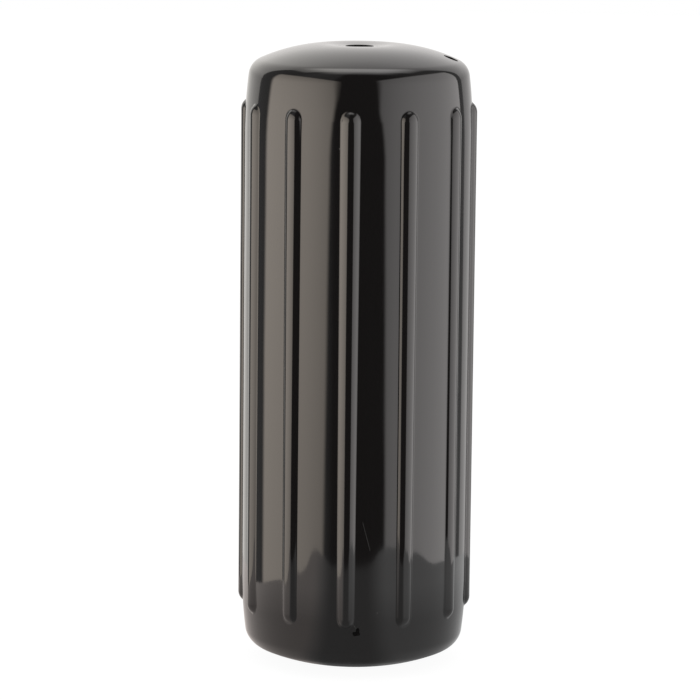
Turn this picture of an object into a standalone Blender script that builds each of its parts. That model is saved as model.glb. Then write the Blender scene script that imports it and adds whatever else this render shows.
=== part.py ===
"""Inflatable boat fender: a ribbed vinyl body, moulded in one piece with its rope tube, and a valve.

Metres, +Z up. The origin is the middle of the lower end, at the height of what the fender stands on.
One rib faces -Y, and angles are counted from there towards +X.
"""

import math

import bmesh
import bpy
from mathutils import Matrix, Vector

# Body
LENGTH = 0.661
DIAMETER_OVER_RIBS = 0.250
VINYL_WALL = 0.003
LEAN_ANGLE = 7.0  # degrees that the side leans in above and below the ribs
LEAN_RADIUS = 0.500
SHOULDER_RADIUS = 0.020
DOME_RADIUS = 0.1885
CROWN_SLOPE = 6.44  # degrees, where the dome meets the rounding at its crown
CROWN_RADIUS = 0.0857

# Flat ring on each end, and the dish from it down to the rope hole
RING_WIDTH = 0.009
DISH_WIDTH = 0.0154
DISH_DEPTH = 0.0016

# Rope tube
ROPE_BORE = 0.0276
MOUTH_ROUNDING = 0.0009
TUBE_WALL = 0.004
TUBE_FILLET = 0.010

# Ribs
RIB_COUNT = 12
RIB_WIDTH = 0.0200
RIB_HEIGHT = 0.0046
RIB_SETBACK = 0.0568  # from the end of the fender to the tip of a rib

# Valve seat in the upper dome
VALVE_ANGLE = 86.0  # degrees from -Y
VALVE_FROM_SHOULDER = 0.008
SEAT_DIAMETER = 0.016
SEAT_HOLE = 0.009
BOSS_DIAMETER = 0.026
BOSS_DEPTH = 0.010

# Valve
HEAD_RECESS = 0.0022
HEAD_THICKNESS = 0.002
HEAD_CHAMFER = 0.0005
BARB_STEP = 0.0018
BARB_LENGTH = 0.006
BARB_TIP_RADIUS = 0.0032
NEEDLE_BORE = 0.0022
FUNNEL_WIDENING = 0.0009
FUNNEL_DEPTH = 0.0015
CLOSED_TIP = 0.002
CLEARANCE = 0.0003

# How finely round shapes are divided
BODY_STEPS = 60
CHAMBER_STEPS = 36
VALVE_STEPS = 24
RIB_SIDES = 20
RIB_RINGS = 9
CHANNEL_SIDES = 12
CHANNEL_RINGS = 5
OUTER_ARC_STEPS = (2, 4, 4, 2)  # for the crown, dome, shoulder and lean
INNER_ARC_STEPS = (1, 2, 3, 1)
CORNER_STEPS = 3

# Worked out from the sizes above
half_length = LENGTH / 2
crest_radius = DIAMETER_OVER_RIBS / 2
wall_radius = crest_radius - RIB_HEIGHT
bore_radius = ROPE_BORE / 2
mouth_radius = bore_radius + MOUTH_ROUNDING
ring_inner = mouth_radius + DISH_WIDTH
ring_outer = ring_inner + RING_WIDTH
tube_radius = bore_radius + TUBE_WALL
crown_slope = math.radians(CROWN_SLOPE)
lean_slope = math.radians(90 - LEAN_ANGLE)

# The slope at which the dome turns into the shoulder, so that all the arcs together end on the wall
arcs_without_dome = (
    ring_outer
    + (CROWN_RADIUS - DOME_RADIUS) * math.sin(crown_slope)
    + (SHOULDER_RADIUS - LEAN_RADIUS) * math.sin(lean_slope)
    + LEAN_RADIUS
)
shoulder_slope = math.asin((wall_radius - arcs_without_dome) / (DOME_RADIUS - SHOULDER_RADIUS))

# A rib is the outer part of a long capsule whose side cuts the wall at the rib's width
rib_rise = crest_radius - math.sqrt(wall_radius**2 - (RIB_WIDTH / 2) ** 2)
rib_radius = ((RIB_WIDTH / 2) ** 2 + rib_rise**2) / (2 * rib_rise)
rib_axis = crest_radius - rib_radius
rib_end_reach = math.sqrt(rib_radius**2 - (rib_radius - RIB_HEIGHT) ** 2)
rib_straight = LENGTH - 2 * RIB_SETBACK - 2 * rib_end_reach


def direction(slope):
    """A unit (radius, height) step: slope 0 points up and 90 degrees points outwards."""
    return Vector((math.sin(slope), math.cos(slope)))


def end_arcs():
    """The four arcs of an end, from the crown to the lean: centre, radius, first slope and last slope."""
    crown = Vector((ring_outer, half_length - CROWN_RADIUS))
    dome = crown + direction(crown_slope) * (CROWN_RADIUS - DOME_RADIUS)
    shoulder = dome + direction(shoulder_slope) * (DOME_RADIUS - SHOULDER_RADIUS)
    lean = shoulder + direction(lean_slope) * (SHOULDER_RADIUS - LEAN_RADIUS)
    return (
        (crown, CROWN_RADIUS, 0, crown_slope),
        (dome, DOME_RADIUS, crown_slope, shoulder_slope),
        (shoulder, SHOULDER_RADIUS, shoulder_slope, lean_slope),
        (lean, LEAN_RADIUS, lean_slope, math.pi / 2),
    )


def arc(centre, radius, start, end, steps):
    """Points along an arc, its start left out."""
    return [centre + direction(start + (end - start) * i / steps) * radius for i in range(1, steps + 1)]


def end_profile(inset, arc_steps):
    """The end from the crown's outer edge to the straight wall, moved inwards by inset."""
    points = [Vector((ring_outer, half_length - inset))]
    for (centre, radius, start, end), steps in zip(end_arcs(), arc_steps):
        points += arc(centre, radius - inset, start, end, steps)
    return points


def both_ends(upper):
    """A closed loop: the upper end's points from the middle outwards, then their mirror image."""
    return upper + [Vector((point.x, -point.y)) for point in reversed(upper)]


def outer_loop():
    mouth = Vector((mouth_radius, half_length - DISH_DEPTH - MOUTH_ROUNDING))
    upper = [Vector((bore_radius, mouth.y))]
    upper += arc(mouth, MOUTH_ROUNDING, -math.pi / 2, 0, CORNER_STEPS)
    upper.append(Vector((ring_inner, half_length)))
    upper += end_profile(0, OUTER_ARC_STEPS)
    return both_ends(upper)


def chamber_loop():
    fillet = Vector((tube_radius + TUBE_FILLET, half_length - DISH_DEPTH - VINYL_WALL - TUBE_FILLET))
    upper = [Vector((tube_radius, fillet.y))]
    upper += arc(fillet, TUBE_FILLET, -math.pi / 2, 0, CORNER_STEPS)
    upper += end_profile(VINYL_WALL, INNER_ARC_STEPS)
    return both_ends(upper)


def link(obj, collection):
    collection.objects.link(obj)
    if collection is helpers:
        obj.hide_render = True
        obj.display_type = "WIRE"
    return obj


def turned(name, points, steps, collection, closed=True):
    """A profile of (radius, height) points turned round Z."""
    mesh = bpy.data.meshes.new(name)
    edges = [(i, i + 1) for i in range(len(points) - 1)]
    if closed:
        edges.append((len(points) - 1, 0))
    mesh.from_pydata([(point[0], 0, point[1]) for point in points], edges, [])
    obj = link(bpy.data.objects.new(name, mesh), collection)
    screw = obj.modifiers.new("Turned", "SCREW")
    screw.axis = "Z"
    screw.steps = screw.render_steps = steps
    screw.use_merge_vertices = True
    screw.merge_threshold = 1e-6
    screw.use_smooth_shade = True
    return obj


def capsules(name, radius, sides, rings):
    """A long capsule at each rib, in one helper mesh. An odd number of rings leaves a band to stretch."""
    widest = radius / math.cos(math.pi / 2 / rings)
    mesh = bpy.data.meshes.new(name)
    shape = bmesh.new()
    for number in range(RIB_COUNT):
        ball = bmesh.ops.create_uvsphere(shape, u_segments=sides, v_segments=rings, radius=widest)["verts"]
        for vertex in ball:
            vertex.co.z += math.copysign(rib_straight / 2, vertex.co.z)
        turn = Matrix.Rotation(math.tau * number / RIB_COUNT, 4, "Z")
        place = turn @ Matrix.Translation((0, -rib_axis, 0))
        bmesh.ops.transform(shape, matrix=place, verts=ball)
    shape.to_mesh(mesh)
    shape.free()
    mesh.shade_smooth()
    return link(bpy.data.objects.new(name, mesh), helpers)


def cut_or_join(obj, other, operation):
    modifier = obj.modifiers.new(other.name, "BOOLEAN")
    modifier.solver = "EXACT"
    modifier.operation = operation
    modifier.object = other


def valve_place():
    """Where the valve's axis leaves the dome, with the axis as +Z."""
    centre, radius = end_arcs()[1][:2]
    dome_edge = centre.x + radius * math.sin(shoulder_slope)
    slope = math.asin((dome_edge - VALVE_FROM_SHOULDER - centre.x) / radius)
    point = centre + direction(slope) * radius
    around = Matrix.Rotation(math.radians(VALVE_ANGLE), 4, "Z")
    return around @ Matrix.Translation((0, -point.x, point.y)) @ Matrix.Rotation(slope, 4, "X")


def valve_profile():
    """The plug's outline from the foot of its needle bore, up and over the head, down to its tip."""
    head_radius = SEAT_DIAMETER / 2 - CLEARANCE
    neck_radius = SEAT_HOLE / 2 - CLEARANCE
    head_top = -HEAD_RECESS
    head_base = head_top - HEAD_THICKNESS
    barb_top = -BOSS_DEPTH - CLEARANCE
    tip = barb_top - BARB_LENGTH
    return [
        (0, tip + CLOSED_TIP),
        (NEEDLE_BORE / 2, tip + CLOSED_TIP),
        (NEEDLE_BORE / 2, head_top - FUNNEL_DEPTH),
        (NEEDLE_BORE / 2 + FUNNEL_WIDENING, head_top),
        (head_radius - HEAD_CHAMFER, head_top),
        (head_radius, head_top - HEAD_CHAMFER),
        (head_radius, head_base),
        (neck_radius, head_base),
        (neck_radius, barb_top),
        (neck_radius + BARB_STEP, barb_top),
        (BARB_TIP_RADIUS, tip),
        (0, tip),
    ]


def seat_profile():
    """What the seat removes: a recess for the plug's head and a hole on into the air chamber."""
    above = SEAT_DIAMETER
    floor = -HEAD_RECESS - HEAD_THICKNESS - CLEARANCE
    below = -BOSS_DEPTH - VINYL_WALL
    return [
        (0, above),
        (SEAT_DIAMETER / 2, above),
        (SEAT_DIAMETER / 2, floor),
        (SEAT_HOLE / 2, floor),
        (SEAT_HOLE / 2, below),
        (0, below),
    ]


def boss_profile():
    """The thick pad round the hole, which the air chamber leaves standing."""
    return [(0, 0), (BOSS_DIAMETER / 2, 0), (BOSS_DIAMETER / 2, -BOSS_DEPTH), (0, -BOSS_DEPTH)]


def material(name, colour, roughness):
    made = bpy.data.materials.new(name)
    made.use_nodes = True
    shader = made.node_tree.nodes["Principled BSDF"]
    shader.inputs["Base Color"].default_value = (*colour, 1)
    shader.inputs["Roughness"].default_value = roughness
    shader.inputs["Metallic"].default_value = 0
    return made


def make_body():
    body = turned("fender_body", outer_loop(), BODY_STEPS, parts)
    chamber = turned("air_chamber", chamber_loop(), CHAMBER_STEPS, helpers)
    ribs = capsules("ribs", rib_radius, RIB_SIDES, RIB_RINGS)
    channels = capsules("rib_channels", rib_radius - VINYL_WALL, CHANNEL_SIDES, CHANNEL_RINGS)
    boss = turned("valve_boss", boss_profile(), VALVE_STEPS, helpers, closed=False)
    seat = turned("valve_seat", seat_profile(), VALVE_STEPS, helpers, closed=False)
    for helper in (boss, seat):
        helper.matrix_world = valve_place()
    cut_or_join(chamber, channels, "UNION")
    cut_or_join(chamber, boss, "DIFFERENCE")
    cut_or_join(body, ribs, "UNION")
    cut_or_join(body, chamber, "DIFFERENCE")
    cut_or_join(body, seat, "DIFFERENCE")
    body.data.materials.append(material("black_vinyl", (0.005, 0.005, 0.0052), 0.08))
    return body


def make_valve():
    valve = turned("inflation_valve", valve_profile(), VALVE_STEPS, parts, closed=False)
    valve.matrix_world = valve_place()
    valve.data.materials.append(material("valve_rubber", (0.012, 0.012, 0.012), 0.55))
    return valve


for old in list(bpy.data.objects):
    bpy.data.objects.remove(old)
parts = bpy.data.collections.new("pneumatic_fender")
helpers = bpy.data.collections.new("cutters")
for group in (parts, helpers):
    bpy.context.scene.collection.children.link(group)

stand = bpy.data.objects.new("fender_middle", None)
stand.location.z = half_length
parts.objects.link(stand)
bpy.context.view_layer.update()
make_body()
make_valve()
for made in list(parts.objects) + list(helpers.objects):
    if made is not stand:
        made.parent = stand
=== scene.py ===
import math

import bmesh
import bpy
from mathutils import Matrix, Vector, noise


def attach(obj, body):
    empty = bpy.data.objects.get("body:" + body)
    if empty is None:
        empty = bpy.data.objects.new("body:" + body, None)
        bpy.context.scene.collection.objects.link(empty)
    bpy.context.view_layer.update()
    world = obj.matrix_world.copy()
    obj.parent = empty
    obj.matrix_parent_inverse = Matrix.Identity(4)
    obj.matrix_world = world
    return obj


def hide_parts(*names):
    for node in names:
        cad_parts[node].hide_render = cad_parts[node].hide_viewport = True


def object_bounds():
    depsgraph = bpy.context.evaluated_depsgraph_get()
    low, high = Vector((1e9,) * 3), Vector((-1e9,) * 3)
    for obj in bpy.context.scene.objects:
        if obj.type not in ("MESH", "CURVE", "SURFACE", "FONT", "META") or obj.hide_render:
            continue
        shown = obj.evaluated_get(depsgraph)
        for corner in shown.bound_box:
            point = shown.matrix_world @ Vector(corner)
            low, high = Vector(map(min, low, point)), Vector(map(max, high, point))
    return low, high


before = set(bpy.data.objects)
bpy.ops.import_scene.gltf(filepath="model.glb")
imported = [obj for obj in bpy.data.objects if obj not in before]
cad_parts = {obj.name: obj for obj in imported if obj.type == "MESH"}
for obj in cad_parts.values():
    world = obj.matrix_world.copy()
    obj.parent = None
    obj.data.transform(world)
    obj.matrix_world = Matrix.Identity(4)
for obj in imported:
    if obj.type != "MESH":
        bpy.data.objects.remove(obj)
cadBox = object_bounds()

# Metres, +Z up, and angles in degrees round Z from -Y towards +X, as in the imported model.

samePoint = 0.000001       # corners that are closer than this become one


# Helpers for node trees of both kinds

def plug(tree, socket, value):
    if isinstance(value, bpy.types.NodeSocket):
        tree.links.new(value, socket)
    elif value is not None:
        socket.default_value = value


def addNode(tree, kind, inputs=None, **options):
    node = tree.nodes.new(kind)
    for name, value in options.items():
        setattr(node, name, value)
    for key, value in (inputs or {}).items():
        plug(tree, node.inputs[key], value)
    return node


def calc(tree, operation, first, second=None, third=None):
    node = tree.nodes.new("ShaderNodeMath")
    node.operation = operation
    for socket, value in zip(node.inputs, (first, second, third)):
        plug(tree, socket, value)
    return node.outputs[0]


def product(tree, value, *factors):
    for factor in factors:
        value = calc(tree, "MULTIPLY", value, factor)
    return value


def vectorCalc(tree, operation, first, second=None, scale=None):
    node = addNode(tree, "ShaderNodeVectorMath", {0: first, 1: second}, operation=operation)
    if operation == "SCALE":
        plug(tree, node.inputs["Scale"], scale)
    return node.outputs["Value" if operation in ("DOT_PRODUCT", "DISTANCE", "LENGTH") else "Vector"]


def ramp(tree, value, fromRange, toRange=(0, 1), smooth=True):
    node = tree.nodes.new("ShaderNodeMapRange")
    node.interpolation_type = "SMOOTHSTEP" if smooth else "LINEAR"
    for socket, number in zip(node.inputs, (value, *fromRange, *toRange)):
        plug(tree, socket, number)
    return node.outputs[0]


def blendColours(tree, factor, first, second):
    node = addNode(tree, "ShaderNodeMix", data_type="RGBA")
    for socket, value in zip((node.inputs[0], node.inputs[6], node.inputs[7]), (factor, first, second)):
        plug(tree, socket, value)
    return node.outputs[2]


def newGroup(name, kind, inlets, outlets):
    tree = bpy.data.node_groups.new(name, kind)
    for socketName, socketType in inlets:
        tree.interface.new_socket(name=socketName, in_out="INPUT", socket_type=socketType)
    for socketName, socketType in outlets:
        tree.interface.new_socket(name=socketName, in_out="OUTPUT", socket_type=socketType)
    return tree, tree.nodes.new("NodeGroupInput").outputs, tree.nodes.new("NodeGroupOutput").inputs


def newMaterial(name):
    material = bpy.data.materials.new(name)
    material.use_nodes = True
    return material, material.node_tree


def plainMesh(obj):
    depsgraph = bpy.context.evaluated_depsgraph_get()
    return bpy.data.meshes.new_from_object(obj.evaluated_get(depsgraph), depsgraph=depsgraph)


def place(name, mesh):
    obj = bpy.data.objects.new(name, mesh)
    bpy.context.scene.collection.objects.link(obj)
    return obj


# Camera

photoView = {
    "azimuth": 3.9,
    "elevation": 9.6,
    "distance": 4.018,
    "lens": 193.6,
    "sensor": 36.0,
    "roll": 0.631,        # clockwise in the picture
    "shift": (-0.0089, 0.00496),
}


def makeCamera():
    around, above = math.radians(photoView["azimuth"]), math.radians(photoView["elevation"])
    middle = (cadBox[0] + cadBox[1]) / 2
    level = math.cos(above)
    back = Vector((math.sin(around) * level, -math.cos(around) * level, math.sin(above)))
    data = bpy.data.cameras.new("photoCamera")
    data.lens = photoView["lens"]
    data.sensor_width = photoView["sensor"]
    data.shift_x, data.shift_y = photoView["shift"]
    camera = place("photoCamera", data)
    roll = Matrix.Rotation(math.radians(photoView["roll"]), 3, "Z")
    turn = (-back).to_track_quat("-Z", "Y").to_matrix() @ roll
    camera.matrix_world = Matrix.Translation(middle + back * photoView["distance"]) @ turn.to_4x4()
    bpy.context.scene.camera = camera


makeCamera()
print("camera placed")


# Shader groups for what the finishes repeat

surface = {
    "grainDetail": 2.0,
    "patchDetail": 3.0,
    "patchRange": (0.3, 0.7),  # the noise values at which a patch is smoothest and roughest
    "hairlineFade": 1.6,       # how many half widths from its middle a hairline has faded out
}


def makeGrainGroup():
    tree, inlet, outlet = newGroup(
        "mouldedGrain", "ShaderNodeTree",
        [("Grain Size", "NodeSocketFloat"), ("Patch Size", "NodeSocketFloat")],
        [("Height", "NodeSocketFloat"), ("Patches", "NodeSocketFloat")],
    )
    here = addNode(tree, "ShaderNodeTexCoord").outputs["Object"]
    for name, size, detail in (
        ("Height", "Grain Size", surface["grainDetail"]),
        ("Patches", "Patch Size", surface["patchDetail"]),
    ):
        scale = calc(tree, "DIVIDE", 1.0, inlet[size])
        cloud = addNode(tree, "ShaderNodeTexNoise", {"Vector": here, "Scale": scale, "Detail": detail})
        plug(tree, outlet[name], cloud.outputs[0])
    return tree


def makeHairlineGroup():
    tree, inlet, outlet = newGroup(
        "hairline", "ShaderNodeTree",
        [("From", "NodeSocketVector"), ("To", "NodeSocketVector"), ("Half Width", "NodeSocketFloat")],
        [("Mask", "NodeSocketFloat")],
    )
    here = addNode(tree, "ShaderNodeTexCoord").outputs["Object"]
    run = vectorCalc(tree, "SUBTRACT", inlet["To"], inlet["From"])
    out = vectorCalc(tree, "SUBTRACT", here, inlet["From"])
    alongRun, runSquared = (vectorCalc(tree, "DOT_PRODUCT", vector, run) for vector in (out, run))
    share = ramp(tree, calc(tree, "DIVIDE", alongRun, runSquared), (0, 1), smooth=False)
    nearest = vectorCalc(tree, "ADD", inlet["From"], vectorCalc(tree, "SCALE", run, scale=share))
    away = vectorCalc(tree, "DISTANCE", here, nearest)
    faded = product(tree, inlet["Half Width"], surface["hairlineFade"])
    plug(tree, outlet["Mask"], ramp(tree, away, (inlet["Half Width"], faded), (1, 0)))
    return tree


grainGroup = makeGrainGroup()
hairlineGroup = makeHairlineGroup()


# Body: one skin turned round Z, with its ribs raised by rule

body = {
    "leanAngle": 7.0,          # how far the side leans in above and below the ribs
    "leanRadius": 0.500,
    "shoulderRadius": 0.020,
    "domeRadius": 0.1885,
    "crownSlope": 6.44,
    "crownRadius": 0.0857,
    "ringWidth": 0.0051,
    "dishWidth": 0.0193,
    "dishDepth": 0.0021,
    "boreRadius": 0.0138,
    "mouthRounding": 0.0009,
    "tubeWall": 0.004,
    "tubeFillet": 0.010,
    "vinylWall": 0.003,
    "ribCount": 12,
    "ribHeight": 0.0046,
    "ribCrownRadius": 0.01134,
    "ribCrownEdge": 15.0,      # the slope at which its crown turns into its tighter sides
    "ribSideRadius": 0.0098,
    "ribFootRadius": 0.0019,
    "ribTaper": (0.99, 1.12),  # how wide a rib is at its lower and upper end
    "ribEndStretch": 1.25,     # how much longer a rib's rounded end is than half its width
    "ribTurns": (0, 0.05, 0.95, 1.6, 1.0, 0.5, 0, -0.3, -0.5, -0.6, -0.3, -0.3),  # off even spacing
    "ribSetback": (0.0562, 0.0584),  # from the lower and upper end of the fender to the tip of a rib
    "ribRowsBeyond": 0.125,    # how far the fine rows go on past a rib's rounded end, in half rib widths
    "waveHeight": 0.00022,     # how uneven the soft wall is
    "waveSize": 0.11,
    "waveDetail": 1.0,
    "sideFrom": (0.80, 0.93),  # the shares of the wall's radius between which ribs and waves set in
    "seed": 4.0,
    "sharpAngle": 32,          # an edge that turns by more than this shows sharp
}
skinSteps = {
    "columns": (8, 5, 6),      # from a rib's middle over its crown and its foot to half way to the next rib
    "side": 14, "ribEnd": 18, "lean": 5, "shoulder": 12, "dome": 14, "crown": 3, "dish": 3, "corner": 5,
}
chamberSteps = {
    "columns": (3, 3, 2),
    "side": 6, "ribEnd": 8, "lean": 3, "shoulder": 6, "dome": 6, "crown": 2, "dish": 1, "corner": 5,
}

halfLength = (cadBox[1].z - cadBox[0].z) / 2
crestRadius = (cadBox[1].x - cadBox[0].x) / 2
wallRadius = crestRadius - body["ribHeight"]
mouthRadius = body["boreRadius"] + body["mouthRounding"]
ringInner = mouthRadius + body["dishWidth"]
ringOuter = ringInner + body["ringWidth"]
crownSlope = math.radians(body["crownSlope"])
leanSlope = math.radians(90 - body["leanAngle"])
arcsWithoutDome = (
    ringOuter
    + (body["crownRadius"] - body["domeRadius"]) * math.sin(crownSlope)
    + (body["shoulderRadius"] - body["leanRadius"]) * math.sin(leanSlope)
    + body["leanRadius"]
)
shoulderSlope = math.asin((wallRadius - arcsWithoutDome) / (body["domeRadius"] - body["shoulderRadius"]))


def direction(slope):
    return Vector((math.sin(slope), math.cos(slope)))  # radius and height; slope 0 points up


def endCentres():
    crown = Vector((ringOuter, halfLength - body["crownRadius"]))
    dome = crown + direction(crownSlope) * (body["crownRadius"] - body["domeRadius"])
    shoulder = dome + direction(shoulderSlope) * (body["domeRadius"] - body["shoulderRadius"])
    lean = shoulder + direction(leanSlope) * (body["shoulderRadius"] - body["leanRadius"])
    return crown, dome, shoulder, lean


def arc(centre, radius, start, end, steps):
    return [centre + direction(start + (end - start) * i / steps) * radius for i in range(1, steps + 1)]


def ribSection(inset):
    # Seen from the end: circles for the crown, for the side inside it and for the foot, which touches the
    # side and the wall
    crown = Vector((0, crestRadius - body["ribCrownRadius"]))
    edge = direction(math.radians(body["ribCrownEdge"]))
    side = crown + edge * (body["ribCrownRadius"] - body["ribSideRadius"])
    sideRadius, footRadius = body["ribSideRadius"] - inset, body["ribFootRadius"] + inset
    sideAxis, footAxis, apart = side.length, wallRadius + body["ribFootRadius"], sideRadius + footRadius
    sideAngle = math.atan2(*side)
    footAngle = sideAngle + math.acos((sideAxis**2 + footAxis**2 - apart**2) / (2 * sideAxis * footAxis))
    joint = side + (direction(footAngle) * footAxis - side) * (sideRadius / apart)
    return {
        "Wall Radius": wallRadius - inset,
        "Crest Radius": crestRadius - inset,
        "Crown Axis": crown.y,
        "Crown Radius": body["ribCrownRadius"] - inset,
        "Crown Angle": math.atan2(*(crown + edge * (body["ribCrownRadius"] - inset))),
        "Side Axis": sideAxis,
        "Side Radius": sideRadius,
        "Side Angle": sideAngle,
        "Foot Axis": footAxis,
        "Foot Radius": footRadius,
        "Joint Angle": math.atan2(*joint),
        "Foot Angle": footAngle,
    }


ribReach = wallRadius * ribSection(0)["Foot Angle"]
ribTip = halfLength - sum(body["ribSetback"]) / 2
ribMiddle = halfLength + (body["ribSetback"][0] - body["ribSetback"][1]) / 2
ribStraight = ribTip - ribReach * body["ribEndStretch"]


def sideProfile(inset, steps):
    # The side from the middle up past the rib's tip, closely spaced where the rib ends
    lean, spare = endCentres()[3], ribReach * body["ribRowsBeyond"]
    start, span = ribStraight - spare, ribTip - ribStraight + 2 * spare
    dense = [start + span * i / steps["ribEnd"] for i in range(steps["ribEnd"] + 1)]
    heights = [dense[0] * i / steps["side"] for i in range(steps["side"])] + dense
    points = []
    for height in heights:
        over = max(height - lean.y, 0)
        points.append(Vector((lean.x + math.sqrt((body["leanRadius"] - inset) ** 2 - over**2), height)))
    return points, math.acos((heights[-1] - lean.y) / (body["leanRadius"] - inset))


def wallAt(height):
    # The plain wall's radius there, and the (radius, height) step straight out of it
    lean = endCentres()[3]
    over = max(abs(height - halfLength) - lean.y, 0)
    out = Vector((math.sqrt(body["leanRadius"] ** 2 - over**2), math.copysign(over, height - halfLength)))
    return lean.x + out.x, out / body["leanRadius"]


def upperProfile(inset, steps):
    # Upper half, from the middle of the side over the dome to the inside; inset moves it into the vinyl
    crown, dome, shoulder, lean = endCentres()
    points, slope = sideProfile(inset, steps)
    points += arc(lean, body["leanRadius"] - inset, slope, leanSlope, steps["lean"])
    points += arc(shoulder, body["shoulderRadius"] - inset, leanSlope, shoulderSlope, steps["shoulder"])
    points += arc(dome, body["domeRadius"] - inset, shoulderSlope, crownSlope, steps["dome"])
    points += arc(crown, body["crownRadius"] - inset, crownSlope, 0, steps["crown"])
    if inset:
        inner, rounding = body["boreRadius"] + body["tubeWall"], body["tubeFillet"]
    else:
        inner, rounding = body["boreRadius"], body["mouthRounding"]
    corner = Vector((inner + rounding, halfLength - inset - body["dishDepth"] - rounding))
    top = corner + Vector((0, rounding))
    edge = Vector((ringInner if not inset else ringOuter, halfLength - inset))
    if not inset:
        points.append(edge)
    points += [edge.lerp(top, i / steps["dish"]) for i in range(1, steps["dish"] + 1)]
    points += arc(corner, rounding, 0, -math.pi / 2, steps["corner"])
    return points


def profileMesh(name, inset, steps):
    upper = upperProfile(inset, steps)
    loop = [Vector((point.x, -point.y)) for point in reversed(upper)] + upper[1:]  # runs up the side
    mesh = bpy.data.meshes.new(name)
    mesh.from_pydata([(point.x, 0, halfLength + point.y) for point in loop], [], [])
    return mesh


def makeSkinTree():
    sizes = [*ribSection(0), "Straight Half", "Middle Height", "Lower Width", "Upper Width", "End Stretch",
             "Wave Height", "Wave Size", "Seed"]
    counts = ["Rib Count", "Crown Columns", "Foot Columns", "Plain Columns"]
    tree, inlet, outlet = newGroup(
        "ribbedSkin", "GeometryNodeTree",
        [("Profile", "NodeSocketGeometry"), ("Finish", "NodeSocketMaterial")]
        + [(name, "NodeSocketInt") for name in counts] + [(name, "NodeSocketFloat") for name in sizes],
        [("Skin", "NodeSocketGeometry")],
    )

    # A grid with one row for each profile point and one column for each step round Z, both ends doubled
    profile = addNode(tree, "GeometryNodeAttributeDomainSize", {"Geometry": inlet["Profile"]})
    rows = profile.outputs["Point Count"]
    rowsDoubled = calc(tree, "ADD", rows, 1)
    pastCrown = calc(tree, "ADD", inlet["Crown Columns"], inlet["Foot Columns"])
    halfRib = calc(tree, "ADD", pastCrown, inlet["Plain Columns"])
    wholeRib = product(tree, halfRib, 2)
    columns = calc(tree, "MULTIPLY_ADD", wholeRib, inlet["Rib Count"], 1)
    grid = addNode(tree, "GeometryNodeMeshGrid", {"Vertices X": columns, "Vertices Y": rowsDoubled})
    index = addNode(tree, "GeometryNodeInputIndex").outputs[0]
    column = calc(tree, "FLOOR", calc(tree, "DIVIDE", index, rowsDoubled))
    row = calc(tree, "MODULO", calc(tree, "MODULO", index, rowsDoubled), rows)

    # The turn of a column: the nearest rib's, and an offset that is fine on the rib and coarse beside it
    pitch = calc(tree, "DIVIDE", math.tau, inlet["Rib Count"])
    rib = calc(tree, "FLOOR", calc(tree, "DIVIDE", calc(tree, "ADD", column, halfRib), wholeRib))
    offset = calc(tree, "SUBTRACT", column, product(tree, rib, wholeRib))
    step = calc(tree, "ABSOLUTE", offset)
    onCrown = ramp(tree, step, (0, inlet["Crown Columns"]), (0, inlet["Joint Angle"]), smooth=False)
    footSpan = calc(tree, "SUBTRACT", inlet["Foot Angle"], inlet["Joint Angle"])
    onFoot = ramp(tree, step, (inlet["Crown Columns"], pastCrown), (0, footSpan), smooth=False)
    halfPitch = product(tree, pitch, 0.5)
    plainSpan = calc(tree, "SUBTRACT", halfPitch, inlet["Foot Angle"])
    onPlain = ramp(tree, step, (pastCrown, halfRib), (0, plainSpan), smooth=False)
    aside = calc(tree, "ADD", calc(tree, "ADD", onCrown, onFoot), onPlain)

    # The profile point of the row
    ofRow = {"Geometry": inlet["Profile"], "Index": row}
    sample = addNode(tree, "GeometryNodeSampleIndex", ofRow, data_type="FLOAT_VECTOR")
    plug(tree, sample.inputs["Value"], addNode(tree, "GeometryNodeInputPosition").outputs[0])
    point = addNode(tree, "ShaderNodeSeparateXYZ", {0: sample.outputs[0]}).outputs
    radius, height = point["X"], point["Z"]

    # The ribs narrow downwards, and are not quite evenly spaced
    low = calc(tree, "SUBTRACT", inlet["Middle Height"], inlet["Straight Half"])
    high = calc(tree, "ADD", inlet["Middle Height"], inlet["Straight Half"])
    width = ramp(tree, height, (low, high), (inlet["Lower Width"], inlet["Upper Width"]), smooth=False)
    plainLeft = calc(tree, "SUBTRACT", halfPitch, product(tree, width, inlet["Foot Angle"]))
    stretch = calc(tree, "SUBTRACT", calc(tree, "DIVIDE", plainLeft, plainSpan), width)
    widened = calc(tree, "MULTIPLY_ADD", onPlain, stretch, product(tree, aside, width))
    ribAngle = product(tree, rib, pitch)
    even = calc(tree, "MULTIPLY_ADD", calc(tree, "SIGN", offset), widened, ribAngle)
    whichRib = calc(tree, "MODULO", rib, inlet["Rib Count"])
    shift = addNode(tree, "GeometryNodeIndexSwitch", {"Index": whichRib}, data_type="FLOAT")
    for number, ribTurn in enumerate(body["ribTurns"]):
        if number > 1:
            shift.index_switch_items.new()
        shift.inputs[number + 1].default_value = math.radians(ribTurn)
    turn = calc(tree, "ADD", even, shift.outputs[0])

    # How far the rib stands out there, by the distance from its middle line or from its end's centre
    aboveMiddle = calc(tree, "ABSOLUTE", calc(tree, "SUBTRACT", height, inlet["Middle Height"]))
    past = calc(tree, "MAXIMUM", calc(tree, "SUBTRACT", aboveMiddle, inlet["Straight Half"]), 0)
    past = calc(tree, "DIVIDE", past, inlet["End Stretch"])
    along = product(tree, aside, inlet["Wall Radius"])
    away = calc(tree, "SQRT", calc(tree, "MULTIPLY_ADD", along, along, product(tree, past, past)))
    away = calc(tree, "DIVIDE", away, inlet["Wall Radius"])

    def circleRadius(angle, axis, radius, join):
        across = product(tree, axis, calc(tree, "SINE", angle))
        square = calc(tree, "SUBTRACT", product(tree, radius, radius), product(tree, across, across))
        reach = calc(tree, "SQRT", calc(tree, "MAXIMUM", square, 0))
        return calc(tree, join, product(tree, axis, calc(tree, "COSINE", angle)), reach)

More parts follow.
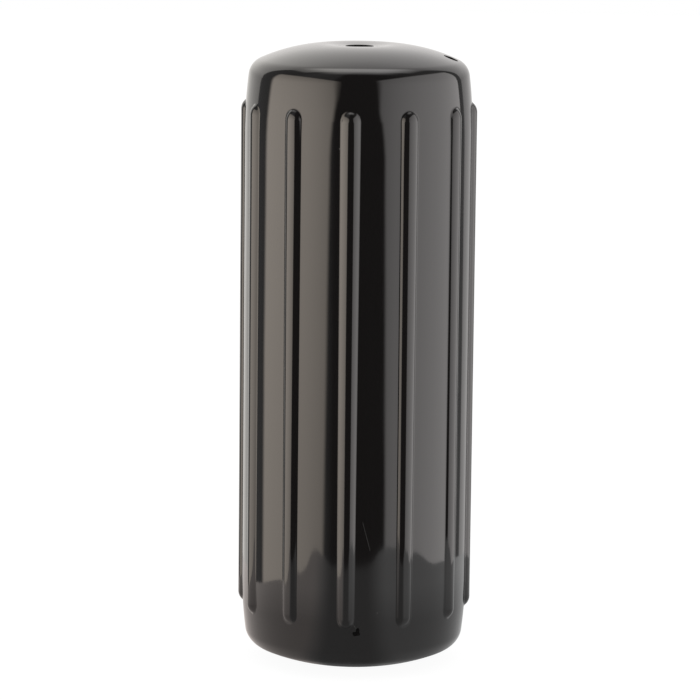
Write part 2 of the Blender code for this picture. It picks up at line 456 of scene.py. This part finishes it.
    crownAt = circleRadius(away, inlet["Crown Axis"], inlet["Crown Radius"], "ADD")
    fromSide = calc(tree, "SUBTRACT", away, inlet["Side Angle"])
    sideAt = circleRadius(fromSide, inlet["Side Axis"], inlet["Side Radius"], "ADD")
    fromFoot = calc(tree, "SUBTRACT", away, inlet["Foot Angle"])
    footAt = circleRadius(fromFoot, inlet["Foot Axis"], inlet["Foot Radius"], "SUBTRACT")
    limits = ("Crown Angle", "Joint Angle", "Foot Angle")
    inCrown, inSide, inFoot = (calc(tree, "LESS_THAN", away, inlet[name]) for name in limits)
    circles = (
        (crownAt, inCrown),
        (sideAt, calc(tree, "SUBTRACT", inSide, inCrown)),
        (footAt, calc(tree, "SUBTRACT", inFoot, inSide)),
    )
    rise = 0.0
    for at, mask in circles:
        rise = calc(tree, "MULTIPLY_ADD", mask, calc(tree, "SUBTRACT", at, inlet["Wall Radius"]), rise)

    # The wall is a little uneven, as soft moulded vinyl is
    sine, cosine = calc(tree, "SINE", turn), calc(tree, "COSINE", turn)
    across, deep = (product(tree, share, inlet["Wall Radius"]) for share in (sine, cosine))
    around = addNode(tree, "ShaderNodeCombineXYZ", {"X": across, "Y": deep, "Z": height}).outputs[0]
    waveScale = calc(tree, "DIVIDE", 1.0, inlet["Wave Size"])
    waves = {"Vector": around, "W": inlet["Seed"], "Detail": body["waveDetail"], "Scale": waveScale}
    cloud = addNode(tree, "ShaderNodeTexNoise", waves, noise_dimensions="4D").outputs[0]
    wave = product(tree, calc(tree, "SUBTRACT", cloud, 0.5), inlet["Wave Height"])
    onSide = ramp(tree, calc(tree, "DIVIDE", radius, inlet["Wall Radius"]), body["sideFrom"])

    # Where the wall leans in, the ribs stand out more, so that their crests stay straight
    room = calc(tree, "SUBTRACT", inlet["Crest Radius"], radius)
    fullHeight = calc(tree, "SUBTRACT", inlet["Crest Radius"], inlet["Wall Radius"])
    rise = product(tree, rise, calc(tree, "DIVIDE", room, fullHeight))
    radius = calc(tree, "MULTIPLY_ADD", calc(tree, "ADD", rise, wave), onSide, radius)

    across, deep = product(tree, radius, sine), product(tree, radius, cosine, -1)
    placed = addNode(tree, "ShaderNodeCombineXYZ", {"X": across, "Y": deep, "Z": height}).outputs[0]
    skin = grid.outputs["Mesh"]
    for kind, values in (
        ("GeometryNodeSetPosition", {"Position": placed}),
        ("GeometryNodeMergeByDistance", {"Distance": samePoint}),
        ("GeometryNodeSetShadeSmooth", {}),
        ("GeometryNodeRealizeInstances", {}),
        ("GeometryNodeSetMaterial", {"Material": inlet["Finish"]}),
    ):
        skin = addNode(tree, kind, {"Geometry": skin, **values}).outputs[0]
    plug(tree, outlet["Skin"], skin)
    return tree


def makeSkin(name, tree, inset, steps, waveHeight, material):
    holder = place(name, profileMesh(name + "Profile", inset, steps))
    modifier = holder.modifiers.new("Ribbed skin", "NODES")
    modifier.node_group = tree
    values = ribSection(inset)
    values.update(zip(("Crown Columns", "Foot Columns", "Plain Columns"), steps["columns"]))
    values.update({
        "Finish": material,
        "Rib Count": body["ribCount"],
        "Straight Half": ribStraight,
        "Middle Height": ribMiddle,
        "Lower Width": body["ribTaper"][0],
        "Upper Width": body["ribTaper"][1],
        "End Stretch": body["ribEndStretch"],
        "Wave Height": waveHeight,
        "Wave Size": body["waveSize"],
        "Seed": body["seed"],
    })
    for socket in tree.interface.items_tree:
        if socket.in_out == "INPUT" and socket.name in values:
            modifier[socket.identifier] = values[socket.name]
    mesh = plainMesh(holder)
    bpy.data.objects.remove(holder)
    return place(name, mesh)


# Valve, its seat and the thick pad round its hole

valve = {
    "angle": 86.0,
    "fromShoulder": 0.008,
    "seatDiameter": 0.016,
    "seatHole": 0.009,
    "rimRounding": 0.0008,
    "bossDiameter": 0.026,
    "bossDepth": 0.010,
    "headRecess": 0.0022,
    "headThickness": 0.002,
    "headRounding": 0.0005,
    "barbStep": 0.0018,
    "barbLength": 0.006,
    "barbTipRadius": 0.0032,
    "needleBore": 0.0022,
    "funnelWidening": 0.0009,
    "funnelDepth": 0.0015,
    "closedTip": 0.002,
    "clearance": 0.0003,
    "steps": 72,
    "sharpAngle": 40,
}


def turnedMesh(name, points):
    shape = bmesh.new()
    corners = [shape.verts.new((radius, 0, height)) for radius, height in points]
    edges = [shape.edges.new(pair) for pair in zip(corners, corners[1:])]
    turn = {"axis": (0, 0, 1), "cent": (0, 0, 0), "angle": math.tau, "steps": valve["steps"]}
    bmesh.ops.spin(shape, geom=corners + edges, **turn)
    bmesh.ops.remove_doubles(shape, verts=shape.verts, dist=samePoint)
    bmesh.ops.recalc_face_normals(shape, faces=shape.faces)
    mesh = bpy.data.meshes.new(name)
    shape.to_mesh(mesh)
    shape.free()
    return mesh


def valvePlace():
    centre = endCentres()[1]
    domeEdge = centre.x + body["domeRadius"] * math.sin(shoulderSlope)
    slope = math.asin((domeEdge - valve["fromShoulder"] - centre.x) / body["domeRadius"])
    point = centre + direction(slope) * body["domeRadius"]
    around = Matrix.Rotation(math.radians(valve["angle"]), 4, "Z")
    return around @ Matrix.Translation((0, -point.x, halfLength + point.y)) @ Matrix.Rotation(slope, 4, "X")


def rounded(centre, radius, start, end, steps=5):
    # A rounded corner as (radius, height) pairs; 0 degrees points outwards and 90 up
    turns = [math.radians(start + (end - start) * i / steps) for i in range(steps + 1)]
    return [(centre[0] + radius * math.cos(turn), centre[1] + radius * math.sin(turn)) for turn in turns]


def seatProfile():
    radius, rim = valve["seatDiameter"] / 2, valve["rimRounding"]
    floor = -valve["headRecess"] - valve["headThickness"] - valve["clearance"]
    hole, below = valve["seatHole"] / 2, -valve["bossDepth"] - body["vinylWall"]
    flare = rounded((radius + rim, -rim), rim, 90, 180)
    above = [(0, radius), (radius + rim, radius)]
    return above + flare + [(radius, floor), (hole, floor), (hole, below), (0, below)]


def valveProfile():
    head, neck = valve["seatDiameter"] / 2 - valve["clearance"], valve["seatHole"] / 2 - valve["clearance"]
    top, edge = -valve["headRecess"], valve["headRounding"]
    base = top - valve["headThickness"]
    barb = -valve["bossDepth"] - valve["clearance"]
    tip = barb - valve["barbLength"]
    needle, closed = valve["needleBore"] / 2, tip + valve["closedTip"]
    points = [(0, closed), (needle, closed), (needle, top - valve["funnelDepth"])]
    points.append((needle + valve["funnelWidening"], top))
    points += rounded((head - edge, top - edge), edge, 90, 0)
    points += [(head, base), (neck, base), (neck, barb), (neck + valve["barbStep"], barb)]
    return points + [(valve["barbTipRadius"], tip), (0, tip)]


def bossProfile():
    reach, depth = valve["bossDiameter"] / 2, -valve["bossDepth"]
    return [(0, 0), (reach, 0), (reach, depth), (0, depth)]


# A small gouge below the rib that faces -Y

gouge = {
    "angle": 5.4,
    "height": 0.0536,
    "parts": (                 # middle to the right and up, and reach sideways, inwards and up
        ((0.0, -0.0012), (0.0044, 0.0024, 0.0025)),
        ((0.0015, 0.0022), (0.0021, 0.0020, 0.0030)),
    ),
    "roughness": 0.35,         # how far its lumps go in and out, as a share of the reach
    "lumps": 1.4,              # how many there are along the reach
    "subdivisions": 3,
    "seed": 3.0,
}


def gougeMesh(middle, reach):
    shape = bmesh.new()
    bmesh.ops.create_icosphere(shape, subdivisions=gouge["subdivisions"], radius=1)
    start = Vector((gouge["seed"], 0, 0))
    for vertex in shape.verts:
        swell = 1 + gouge["roughness"] * noise.noise(vertex.co * gouge["lumps"] + start)
        vertex.co = Vector(a * b for a, b in zip(vertex.co * swell, reach))
    mesh = bpy.data.meshes.new("gouge")
    shape.to_mesh(mesh)
    shape.free()
    around = Matrix.Rotation(math.radians(gouge["angle"]), 4, "Z")
    height = gouge["height"] + middle[1]
    mesh.transform(around @ Matrix.Translation((middle[0], -wallAt(height)[0], height)))
    return mesh


# Finishes

def newFinish(name, settings):
    material, tree = newMaterial(name)
    grain = addNode(tree, "ShaderNodeGroup", node_tree=grainGroup)
    grain.inputs["Grain Size"].default_value = settings["grainSize"]
    grain.inputs["Patch Size"].default_value = settings["patchSize"]
    bump = addNode(tree, "ShaderNodeBump", {"Height": grain.outputs["Height"]})
    bump.inputs["Distance"].default_value = settings["grainHeight"]
    shader = tree.nodes["Principled BSDF"]
    plug(tree, shader.inputs["Normal"], bump.outputs[0])
    return material, tree, shader, grain.outputs["Patches"]


vinyl = {
    "colour": (0.0056, 0.0047, 0.0045, 1),
    "paleColour": (0.030, 0.029, 0.028, 1),  # where it is scratched
    "roughness": (0.045, 0.075),
    "specular": 0.5,
    "refraction": 1.5,
    "scratchedRoughness": 0.35,
    "grainSize": 0.004,
    "grainHeight": 0.000004,
    "patchSize": 0.09,
    # In the gouge and the rope tube the vinyl is rougher, and painted shade takes most of its gloss out
    "gougeReach": 0.0066,
    "gougeSkin": 0.00035,      # how deep below the wall the gouge's raw surface, with painted shade, starts
    "boreSoft": 0.0005,        # how gradually the gloss ends at the rope tube's mouth
    "dullColour": (0.0058, 0.0054, 0.0054, 1),  # in the gouge and in the rope tube
    "dullRoughness": 0.6,
    "paintedShadeSpecular": -0.45,     # added there, as painted shade
}
hairlines = (  # angle and height of both ends, and half the width
    ((8.1, 0.1718), (11.9, 0.1422), 0.00018),
    ((3.3, 0.0644), (5.3, 0.0580), 0.00022),
    ((15.8, 0.0750), (16.1, 0.0746), 0.00035),
    ((-5.4, 0.5637), (-5.4, 0.5629), 0.00040),
)


def onWall(angle, height):
    turn, radius = math.radians(angle), wallAt(height)[0]
    return Vector((radius * math.sin(turn), -radius * math.cos(turn), height))


def makeVinyl():
    material, tree, shader, patches = newFinish("glossyBlackVinyl", vinyl)
    scratches = 0.0
    for start, end, halfWidth in hairlines:
        line = addNode(tree, "ShaderNodeGroup", node_tree=hairlineGroup)
        line.inputs["From"].default_value = onWall(*start)
        line.inputs["To"].default_value = onWall(*end)
        line.inputs["Half Width"].default_value = halfWidth
        scratches = calc(tree, "MAXIMUM", scratches, line.outputs[0])

    here = addNode(tree, "ShaderNodeTexCoord").outputs["Object"]
    centre, out = onWall(gouge["angle"], gouge["height"]), wallAt(gouge["height"])[1]
    outwards = Matrix.Rotation(math.radians(gouge["angle"]), 3, "Z") @ Vector((0, -out.x, out.y))
    apart = vectorCalc(tree, "SUBTRACT", here, centre)
    near = calc(tree, "LESS_THAN", vectorCalc(tree, "LENGTH", apart), vinyl["gougeReach"])
    below = calc(tree, "LESS_THAN", vectorCalc(tree, "DOT_PRODUCT", apart, outwards), -vinyl["gougeSkin"])
    inGouge = product(tree, near, below)
    fromAxis = vectorCalc(tree, "LENGTH", vectorCalc(tree, "MULTIPLY", here, (1, 1, 0)))
    inBore = ramp(tree, fromAxis, (mouthRadius, mouthRadius + vinyl["boreSoft"]), (1, 0))
    # Rougher vinyl with painted shade in the gouge and the rope tube: most of the gloss is taken out there
    dullAndShaded = calc(tree, "MAXIMUM", inGouge, inBore)

    colour = blendColours(tree, scratches, vinyl["colour"], vinyl["paleColour"])
    colour = blendColours(tree, dullAndShaded, colour, vinyl["dullColour"])
    rough = ramp(tree, patches, surface["patchRange"], vinyl["roughness"])
    rough = calc(tree, "MAXIMUM", rough, product(tree, scratches, vinyl["scratchedRoughness"]))
    rough = calc(tree, "MAXIMUM", rough, product(tree, dullAndShaded, vinyl["dullRoughness"]))
    specular = calc(tree, "MULTIPLY_ADD", dullAndShaded, vinyl["paintedShadeSpecular"], vinyl["specular"])
    plug(tree, shader.inputs["Base Color"], colour)
    plug(tree, shader.inputs["Roughness"], rough)
    plug(tree, shader.inputs["Specular IOR Level"], specular)
    shader.inputs["IOR"].default_value = vinyl["refraction"]
    return material


rubber = {
    "colour": (0.012, 0.012, 0.012, 1),
    "dustColour": (0.030, 0.029, 0.027, 1),
    "dustFrom": (0.5, 0.75),   # the noise values between which dust sets in
    "dustMost": 0.6,
    "roughness": (0.45, 0.62),
    "grainSize": 0.0008,
    "grainHeight": 0.00002,
    "patchSize": 0.006,
}


def makeRubber():
    material, tree, shader, patches = newFinish("dullValveRubber", rubber)
    dusty = ramp(tree, patches, rubber["dustFrom"], (0, rubber["dustMost"]))
    colour = blendColours(tree, dusty, rubber["colour"], rubber["dustColour"])
    plug(tree, shader.inputs["Base Color"], colour)
    plug(tree, shader.inputs["Roughness"], ramp(tree, patches, surface["patchRange"], rubber["roughness"]))
    return material


# Pieces

def cut(obj, meshes):
    helpers = []
    for mesh in meshes:
        helper = place(mesh.name, mesh)
        modifier = obj.modifiers.new(mesh.name, "BOOLEAN")
        modifier.solver = "EXACT"
        modifier.operation = "DIFFERENCE"
        modifier.object = helper
        helpers.append(helper)
    mesh = plainMesh(obj)
    for helper in helpers + [obj]:
        bpy.data.objects.remove(helper)
    return mesh


def makeBody():
    tree = makeSkinTree()
    material = makeVinyl()
    skin = makeSkin("skin", tree, 0, skinSteps, body["waveHeight"], material)
    chamber = makeSkin("airChamber", tree, body["vinylWall"], chamberSteps, 0, material)
    print("skin turned:", len(skin.data.polygons), "faces")
    print("air chamber turned:", len(chamber.data.polygons), "faces")
    boss, seat = turnedMesh("boss", bossProfile()), turnedMesh("seat", seatProfile())
    for mesh in (boss, seat):
        mesh.transform(valvePlace())
    hollow = cut(chamber, [boss])
    mesh = cut(skin, [hollow, seat] + [gougeMesh(*part) for part in gouge["parts"]])
    mesh.materials.clear()
    mesh.materials.append(material)
    mesh.shade_smooth()
    mesh.set_sharp_from_angle(angle=math.radians(body["sharpAngle"]))
    piece = place("fenderBody", mesh)
    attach(piece, "root")
    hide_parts("fender_body")
    print("body cut:", len(mesh.polygons), "faces")


def makeValve():
    mesh = turnedMesh("inflationValve", valveProfile())
    mesh.transform(valvePlace())
    mesh.materials.append(makeRubber())
    mesh.shade_smooth()
    mesh.set_sharp_from_angle(angle=math.radians(valve["sharpAngle"]))
    piece = place("inflationValve", mesh)
    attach(piece, "root")
    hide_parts("inflation_valve")
    print("valve turned:", len(mesh.polygons), "faces")


makeBody()
makeValve()


# Stage: a white floor, and near the fender a sheet of white paper that shows in its gloss, glowing with
# painted light and shade

stage = {
    "floorRadius": 9.0,
    "floorSides": 96,
    "floorDrop": 0.0002,
    "floorGlow": 0.945,        # the share of the white that no shadow takes away
    "floorColour": (0.10, 0.10, 0.10, 1),
    "bounceColour": (0.8, 0.8, 0.8, 1),
    "sheetDrop": 0.00005,
    "paperFront": 0.39,        # the painted light on the paper as it shows in the gloss, in front and at the sides
    "paperLeft": 0.88,
    "paperRight": 0.73,
    "paperTurn": (14, 36),
    "paperBack": (120, 175),   # where the sides fade again towards the back
    "paperGain": (1, 2.0),     # how much brighter the sides get with the distance
    "paperGainFrom": (0.28, 0.52),
    "paperTints": ((1.0, 1.0, 1.0, 1), (1.10, 1.0, 0.95, 1)),  # the tint of the painted light, elsewhere and on the left
    "paperShade": (0.085, 0.135),  # the distances from the middle between which the painted shadow ends
    "paperShadow": 0.30,       # what the painted shadow leaves
}
sheetOutline = (  # angle and distance from the middle of the fender
    (-135, 0.52), (-99, 0.463), (-75, 0.52), (-50, 0.590), (-42, 0.64), (-34, 0.745), (-24.5, 0.718),
    (-20.5, 0.693), (-14.6, 0.668), (2, 0.664), (18, 0.680), (31.7, 0.761), (48, 0.74), (65, 0.712),
    (84, 0.629), (103, 0.614), (140, 0.58), (180, 0.55),
)


def makeFloor():
    shape = bmesh.new()
    bmesh.ops.create_circle(shape, cap_ends=True, segments=stage["floorSides"], radius=stage["floorRadius"])
    bmesh.ops.translate(shape, verts=shape.verts, vec=(0, 0, -stage["floorDrop"]))
    mesh = bpy.data.meshes.new("whiteFloor")
    shape.to_mesh(mesh)
    shape.free()
    material, tree = newMaterial("whiteFloor")
    tree.nodes.clear()
    seen = addNode(tree, "ShaderNodeLightPath").outputs["Is Camera Ray"]
    glow = addNode(tree, "ShaderNodeEmission", {"Strength": product(tree, seen, stage["floorGlow"])})
    colour = blendColours(tree, seen, stage["bounceColour"], stage["floorColour"])
    paint = addNode(tree, "ShaderNodeBsdfDiffuse", {"Color": colour})
    total = addNode(tree, "ShaderNodeAddShader", {0: glow.outputs[0], 1: paint.outputs[0]})
    addNode(tree, "ShaderNodeOutputMaterial", {"Surface": total.outputs[0]})
    mesh.materials.append(material)
    floor = place("whiteFloor", mesh)
    floor.visible_glossy = False


def makePaintedLightPaper():
    # Painted light on the paper as it shows in the gloss, by the turn from the front and the distance, and
    # the fender's shadow painted in near the middle
    material, tree = newMaterial("paintedLightPaper")
    tree.nodes.clear()
    here = addNode(tree, "ShaderNodeTexCoord").outputs["Object"]
    split = addNode(tree, "ShaderNodeSeparateXYZ", {0: here}).outputs
    right, behind = split["X"], split["Y"]
    turn = calc(tree, "DEGREES", calc(tree, "ARCTAN2", right, product(tree, behind, -1)))
    away = calc(tree, "SQRT", calc(tree, "ADD", product(tree, right, right), product(tree, behind, behind)))
    ahead = ramp(tree, calc(tree, "ABSOLUTE", turn), stage["paperBack"], (1, 0))
    onLeft = product(tree, ramp(tree, product(tree, turn, -1), stage["paperTurn"]), ahead)
    onRight = product(tree, ramp(tree, turn, stage["paperTurn"]), ahead)
    left = product(tree, onLeft, stage["paperLeft"] - stage["paperFront"])
    right = product(tree, onRight, stage["paperRight"] - stage["paperFront"])
    gain = ramp(tree, away, stage["paperGainFrom"], stage["paperGain"], smooth=False)
    glow = calc(tree, "MULTIPLY_ADD", calc(tree, "ADD", left, right), gain, stage["paperFront"])
    glow = product(tree, glow, ramp(tree, away, stage["paperShade"], (stage["paperShadow"], 1)))
    tint = blendColours(tree, onLeft, *stage["paperTints"])
    paintedPaperLight = addNode(tree, "ShaderNodeEmission", {"Color": tint, "Strength": glow})
    addNode(tree, "ShaderNodeOutputMaterial", {"Surface": paintedPaperLight.outputs[0]})
    return material


def makeSheet():
    curve = bpy.data.curves.new("whiteSheet", "CURVE")
    curve.dimensions = "2D"
    curve.fill_mode = "BOTH"
    line = curve.splines.new("BEZIER")
    line.bezier_points.add(len(sheetOutline) - 1)
    line.use_cyclic_u = True
    for point, (angle, distance) in zip(line.bezier_points, sheetOutline):
        turn = math.radians(angle)
        point.co = (distance * math.sin(turn), -distance * math.cos(turn), 0)
        point.handle_left_type = point.handle_right_type = "AUTO"
    holder = place("whiteSheet", curve)
    mesh = plainMesh(holder)
    bpy.data.objects.remove(holder)
    mesh.transform(Matrix.Translation((0, 0, -stage["sheetDrop"])))
    mesh.materials.append(makePaintedLightPaper())
    sheet = place("whiteSheet", mesh)
    # It glows with painted light and shows only in the gloss
    for ray in ("camera", "diffuse", "shadow", "transmission"):
        setattr(sheet, "visible_" + ray, False)


# Studio light: white to the camera, plain to matt surfaces, and in the gloss soft panels, a backdrop and
# dark gaps. Angles are seen from the fender: azimuth from the camera's side, to the right, and elevation.

panels = (
    {
        "side": -1,
        "tint": (1.115, 1.0, 0.885),
        "level": 3.78,
        "brightest": 70,
        "fade": 0.30,                 # how much dimmer it is a fade turn away from there
        "fadeUp": 0.0125,             # how much dimmer for each degree above the horizon
        "fadeDown": 0.032,            # and for each degree below the angle where that starts
        "inner": (32.0, 22.9),        # inner edge at both slant elevations
        "innerSlant": (-13, 5),
        "innerSoft": (2.4, 6.0),      # below and above the soft rise
        "outer": (107.8, 101.5),
        "outerSlant": (-9.6, 5),
        "outerSoft": 3.0,
        "top": 36.0,
        "topMiddle": 68,
        "topBow": 0.0055,
        "topSoft": 3.0,
    },
    {
        "side": 1,
        "tint": (1.035, 1.0, 0.99),
        "level": 2.66,
        "brightest": 84,
        "fade": 0.19,
        "fadeUp": 0.0065,
        "fadeDown": 0.0,
        "inner": (31.1, 21.2),
        "innerSlant": (-12, 1.5),
        "innerSoft": (2.4, 4.5),
        "outer": (128.6, 121.5),
        "outerSlant": (-9.6, 4),
        "outerSoft": 0.8,
        "top": 45.5,
        "topMiddle": 74,
        "topBow": 0.005,
        "topSoft": 3.5,
    },
)
backdrop = {
    "tints": ((1.03, 1.0, 0.955, 1), (1.025, 1.0, 0.99, 1)),   # on the left and on the right
    "tones": (1.16, 0.88),
    "toneTurn": (-0.36, 0.20),
    "left": (130.0, 120.5),           # where it starts, at both slant elevations
    "right": (137.2, 129.8),
    "slant": (-9.6, 4),
    "soft": 1.2,
    "level": (1.0, 1.38),             # at the horizon and above
    "rise": (0, 18),
    "dip": (42, 55),
    "dipDepth": 0.22,
    "dipEnd": (54, 62),
    "overhead": 2.1,                  # added behind the zenith
    "overheadStart": (-24, 0),
    "overheadEnd": (19, 34),
    "overheadSide": (10, 30),
    "roofStart": (-3, 4),
    "roofLeft": (31, 39),
    "roofRight": (27, 35),
}
panelShared = {
    "fadeTurn": 40,                   # how far from its brightest azimuth a panel is dimmer by its fade
    "fadeDownFrom": -6.5,
    "softRise": (1, 10),              # the elevations between which the inner edge's softness changes
}
dark = {
    "front": 0.07,
    "side": 0.26,
    "turn": (25, 100),                # the azimuths of front and side
    "leftGlow": 0.22,                 # added on the left; it sets in and ends at the azimuths below
    "leftTurn": (21, 32),
    "leftEnd": (60, 90),
}
plainLight = (1, 1, 1, 1)             # what the camera and matt surfaces get


def makePanelGroup():
    names = ["Azimuth", "Elevation", "Level", "Brightest", "Fade", "Fade Up", "Fade Down", "Fade Down From",
             "Inner Low", "Inner High", "Inner From", "Inner To", "Inner Soft",
             "Outer Low", "Outer High", "Outer From", "Outer To", "Outer Soft",
             "Top", "Top Middle", "Top Bow", "Top Soft"]
    tree, inlet, outlet = newGroup(
        "softPanel", "ShaderNodeTree", [(name, "NodeSocketFloat") for name in names],
        [("Mask", "NodeSocketFloat"), ("Strength", "NodeSocketFloat")],
    )
    azimuth, elevation = inlet["Azimuth"], inlet["Elevation"]

    def rest(share):
        return calc(tree, "SUBTRACT", 1.0, share)

    def slanted(name):
        heights = inlet[name + " From"], inlet[name + " To"]
        turns = inlet[name + " Low"], inlet[name + " High"]
        return ramp(tree, elevation, heights, turns, smooth=False)

    def beyond(value, edge, soft):
        return ramp(tree, calc(tree, "SUBTRACT", value, edge), (product(tree, soft, -1), soft))

    fromMiddle = calc(tree, "SUBTRACT", azimuth, inlet["Top Middle"])
    top = calc(tree, "SUBTRACT", inlet["Top"], product(tree, fromMiddle, fromMiddle, inlet["Top Bow"]))
    inside = beyond(azimuth, slanted("Inner"), inlet["Inner Soft"])
    outside = beyond(azimuth, slanted("Outer"), inlet["Outer Soft"])
    above = beyond(elevation, top, inlet["Top Soft"])
    plug(tree, outlet["Mask"], product(tree, inside, rest(outside), rest(above)))

    aside = calc(tree, "SUBTRACT", azimuth, inlet["Brightest"])
    aside = calc(tree, "DIVIDE", aside, panelShared["fadeTurn"])
    fade = product(tree, aside, aside, inlet["Fade"])
    fadeUp = product(tree, calc(tree, "MAXIMUM", elevation, 0), inlet["Fade Up"])
    below = calc(tree, "MAXIMUM", calc(tree, "SUBTRACT", inlet["Fade Down From"], elevation), 0)
    fadeDown = product(tree, below, inlet["Fade Down"])
    plug(tree, outlet["Strength"], product(tree, rest(fade), rest(fadeUp), rest(fadeDown), inlet["Level"]))
    return tree


def addPanels(tree, gloss, azimuth, elevation):
    panelGroup = makePanelGroup()
    for panel in panels:
        node = addNode(tree, "ShaderNodeGroup", node_tree=panelGroup)
        values = {
            "Azimuth": product(tree, azimuth, panel["side"]),
            "Elevation": elevation,
            "Level": panel["level"],
            "Brightest": panel["brightest"],
            "Fade": panel["fade"],
            "Fade Up": panel["fadeUp"],
            "Fade Down": panel["fadeDown"],
            "Fade Down From": panelShared["fadeDownFrom"],
            "Inner Soft": ramp(tree, elevation, panelShared["softRise"], panel["innerSoft"]),
            "Outer Soft": panel["outerSoft"],
            "Top": panel["top"],
            "Top Middle": panel["topMiddle"],
            "Top Bow": panel["topBow"],
            "Top Soft": panel["topSoft"],
        }
        for name, key in (("Inner", "inner"), ("Outer", "outer")):
            values[name + " Low"], values[name + " High"] = panel[key]
            values[name + " From"], values[name + " To"] = panel[key + "Slant"]
        for name, value in values.items():
            plug(tree, node.inputs[name], value)
        tinted = vectorCalc(tree, "SCALE", panel["tint"], scale=node.outputs["Strength"])
        gloss = blendColours(tree, node.outputs["Mask"], gloss, tinted)
    return gloss


def addBackdrop(tree, gloss, split, azimuth, elevation):
    right, behind, up = split["X"], split["Y"], split["Z"]
    masks = []
    for side, start in ((-1, backdrop["left"]), (1, backdrop["right"])):
        edge = ramp(tree, elevation, backdrop["slant"], start, smooth=False)
        past = calc(tree, "SUBTRACT", product(tree, azimuth, side), edge)
        masks.append(ramp(tree, past, (-backdrop["soft"], backdrop["soft"])))
    overBack, overRight = (calc(tree, "DEGREES", calc(tree, "ARCTAN2", way, up)) for way in (behind, right))
    overLeft, overSide = product(tree, overRight, -1), calc(tree, "ABSOLUTE", overRight)
    aboveHorizon = calc(tree, "GREATER_THAN", up, 0)
    roof = product(
        tree,
        ramp(tree, overBack, backdrop["roofStart"]),
        ramp(tree, overLeft, backdrop["roofLeft"], (1, 0)),
        ramp(tree, overRight, backdrop["roofRight"], (1, 0)),
        aboveHorizon,
    )
    lamp = product(
        tree,
        ramp(tree, overBack, backdrop["overheadStart"]),
        ramp(tree, overBack, backdrop["overheadEnd"], (1, 0)),
        ramp(tree, overSide, backdrop["overheadSide"], (backdrop["overhead"], 0)),
        aboveHorizon,
    )
    white = calc(tree, "MAXIMUM", calc(tree, "MAXIMUM", *masks), roof)
    level = ramp(tree, elevation, backdrop["rise"], backdrop["level"])
    dipEnd = ramp(tree, elevation, backdrop["dipEnd"], (backdrop["dipDepth"], 0))
    dip = product(tree, ramp(tree, elevation, backdrop["dip"]), dipEnd)
    tone = ramp(tree, right, backdrop["toneTurn"], backdrop["tones"], smooth=False)
    level = product(tree, calc(tree, "SUBTRACT", level, dip), tone)
    tint = blendColours(tree, ramp(tree, right, backdrop["toneTurn"]), *backdrop["tints"])
    gloss = blendColours(tree, white, gloss, vectorCalc(tree, "SCALE", tint, scale=level))
    return vectorCalc(tree, "ADD", gloss, vectorCalc(tree, "SCALE", tint, scale=lamp))


def makeWorld():
    world = bpy.data.worlds.new("studio")
    world.use_nodes = True
    bpy.context.scene.world = world
    tree = world.node_tree
    tree.nodes.clear()
    here = addNode(tree, "ShaderNodeTexCoord").outputs["Generated"]
    heading = addNode(tree, "ShaderNodeMapping", {"Vector": here})
    heading.inputs["Rotation"].default_value = (0, 0, -math.radians(photoView["azimuth"]))
    split = addNode(tree, "ShaderNodeSeparateXYZ", {0: heading.outputs[0]}).outputs
    azimuth = calc(tree, "DEGREES", calc(tree, "ARCTAN2", split["X"], product(tree, split["Y"], -1)))
    elevation = calc(tree, "DEGREES", calc(tree, "ARCSINE", split["Z"]))

    # The dark studio, with the backdrop, its roof and lamp and then the soft panels over it
    turned = calc(tree, "ABSOLUTE", azimuth)
    level = ramp(tree, turned, dark["turn"], (dark["front"], dark["side"]))
    leftGlow = ramp(tree, product(tree, azimuth, -1), dark["leftTurn"], (0, dark["leftGlow"]))
    level = calc(tree, "ADD", level, product(tree, leftGlow, ramp(tree, turned, dark["leftEnd"], (1, 0))))
    gloss = addNode(tree, "ShaderNodeCombineColor", {0: level, 1: level, 2: level}).outputs[0]
    gloss = addBackdrop(tree, gloss, split, azimuth, elevation)
    gloss = addPanels(tree, gloss, azimuth, elevation)
    path = addNode(tree, "ShaderNodeLightPath").outputs
    shown = blendColours(tree, path["Is Glossy Ray"], plainLight, gloss)
    light = addNode(tree, "ShaderNodeBackground", {"Color": shown, "Strength": 1.0})
    addNode(tree, "ShaderNodeOutputWorld", {"Surface": light.outputs[0]})


makeFloor()
makeSheet()
makeWorld()
bpy.context.scene.view_settings.view_transform = "Standard"
print("stage and light set")
